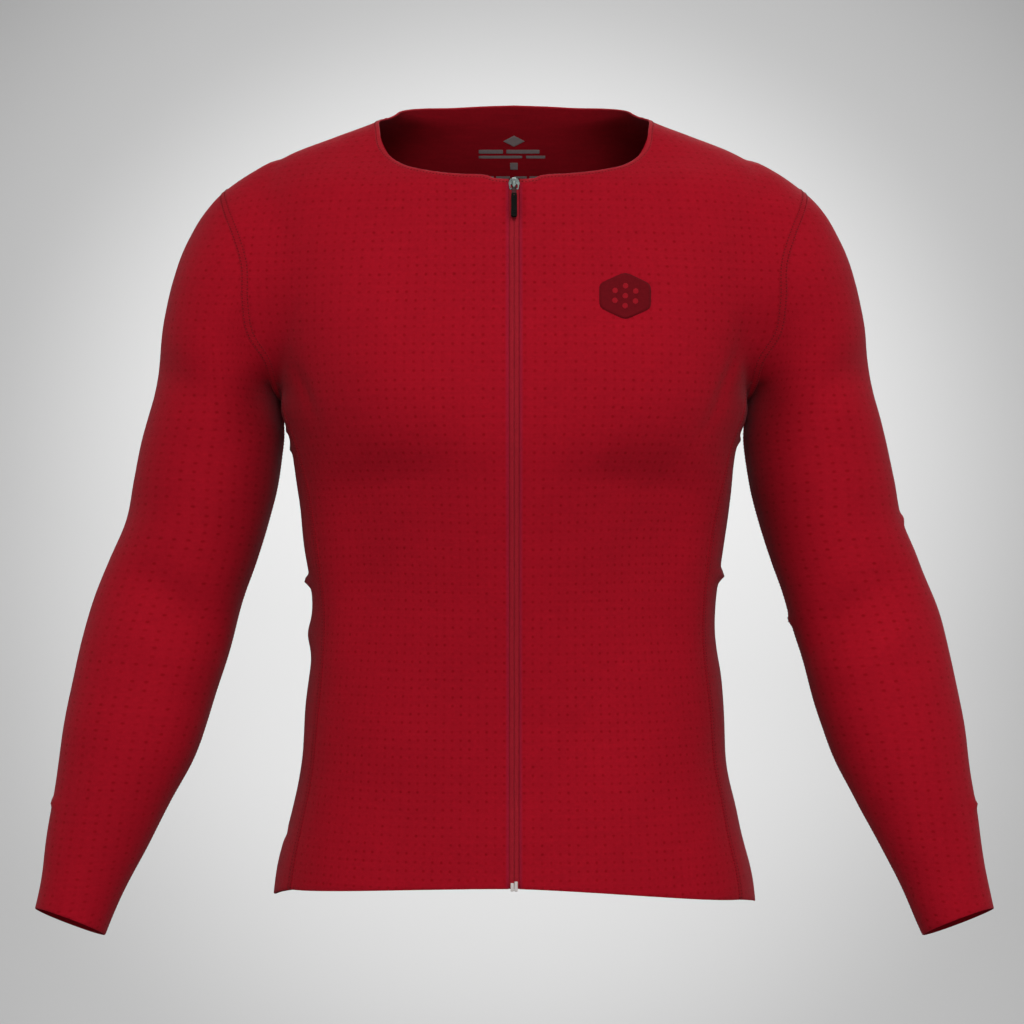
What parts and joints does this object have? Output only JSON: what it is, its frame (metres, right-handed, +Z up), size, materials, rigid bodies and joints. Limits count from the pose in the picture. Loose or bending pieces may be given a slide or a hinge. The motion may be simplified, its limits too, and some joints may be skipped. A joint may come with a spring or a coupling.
{
  "type": "long-sleeve cycling jersey",
  "caption": "Long-sleeve cycling jersey, empty in its worn shape, with a low round neckline, a full front zip with pull tab, set-in sleeves, side panels and a flat back pocket.",
  "frame": {"origin": "midway between the two points where the neckline meets the shoulder seams, at their height: where the wearer's shoulders and neck hold the jersey", "axes": "+Z up as worn, -Y to the front, +X towards the wearer's left"},
  "size_m": [0.7018, 0.2408, 0.6256],
  "materials": {
    "knit": "matte perforated polyester knit, red",
    "zip_tape": "woven zip tape, slightly greyer red",
    "zip_coil": "dark red coil zip",
    "slider_metal": "nickel-plated slider",
    "tab_black": "matte black moulded pull tab",
    "end_stops": "off-white moulded end stops"
  },
  "bodies": {
    "jersey": {"front_left": "knit", "front_right": "knit", "back": "knit", "side_left": "knit", "side_right": "knit", "sleeve_left": "knit", "sleeve_right": "knit", "pocket_back": "knit", "zip_tape_left": "zip_tape", "zip_tape_right": "zip_tape", "zip_coil": "zip_coil", "zip_slider": "slider_metal", "zip_box": "end_stops", "zip_pin": "end_stops"},
    "tab": {"pull_tab": "tab_black"}
  },
  "joints": [
    {"name": "pull_tab_swing", "type": "hinge", "parent": "jersey", "child": "tab", "pos_m": [0, -0.08062, -0.05923], "axis": [-1, 0, 0], "range_deg": [0, 130]}
  ]
}
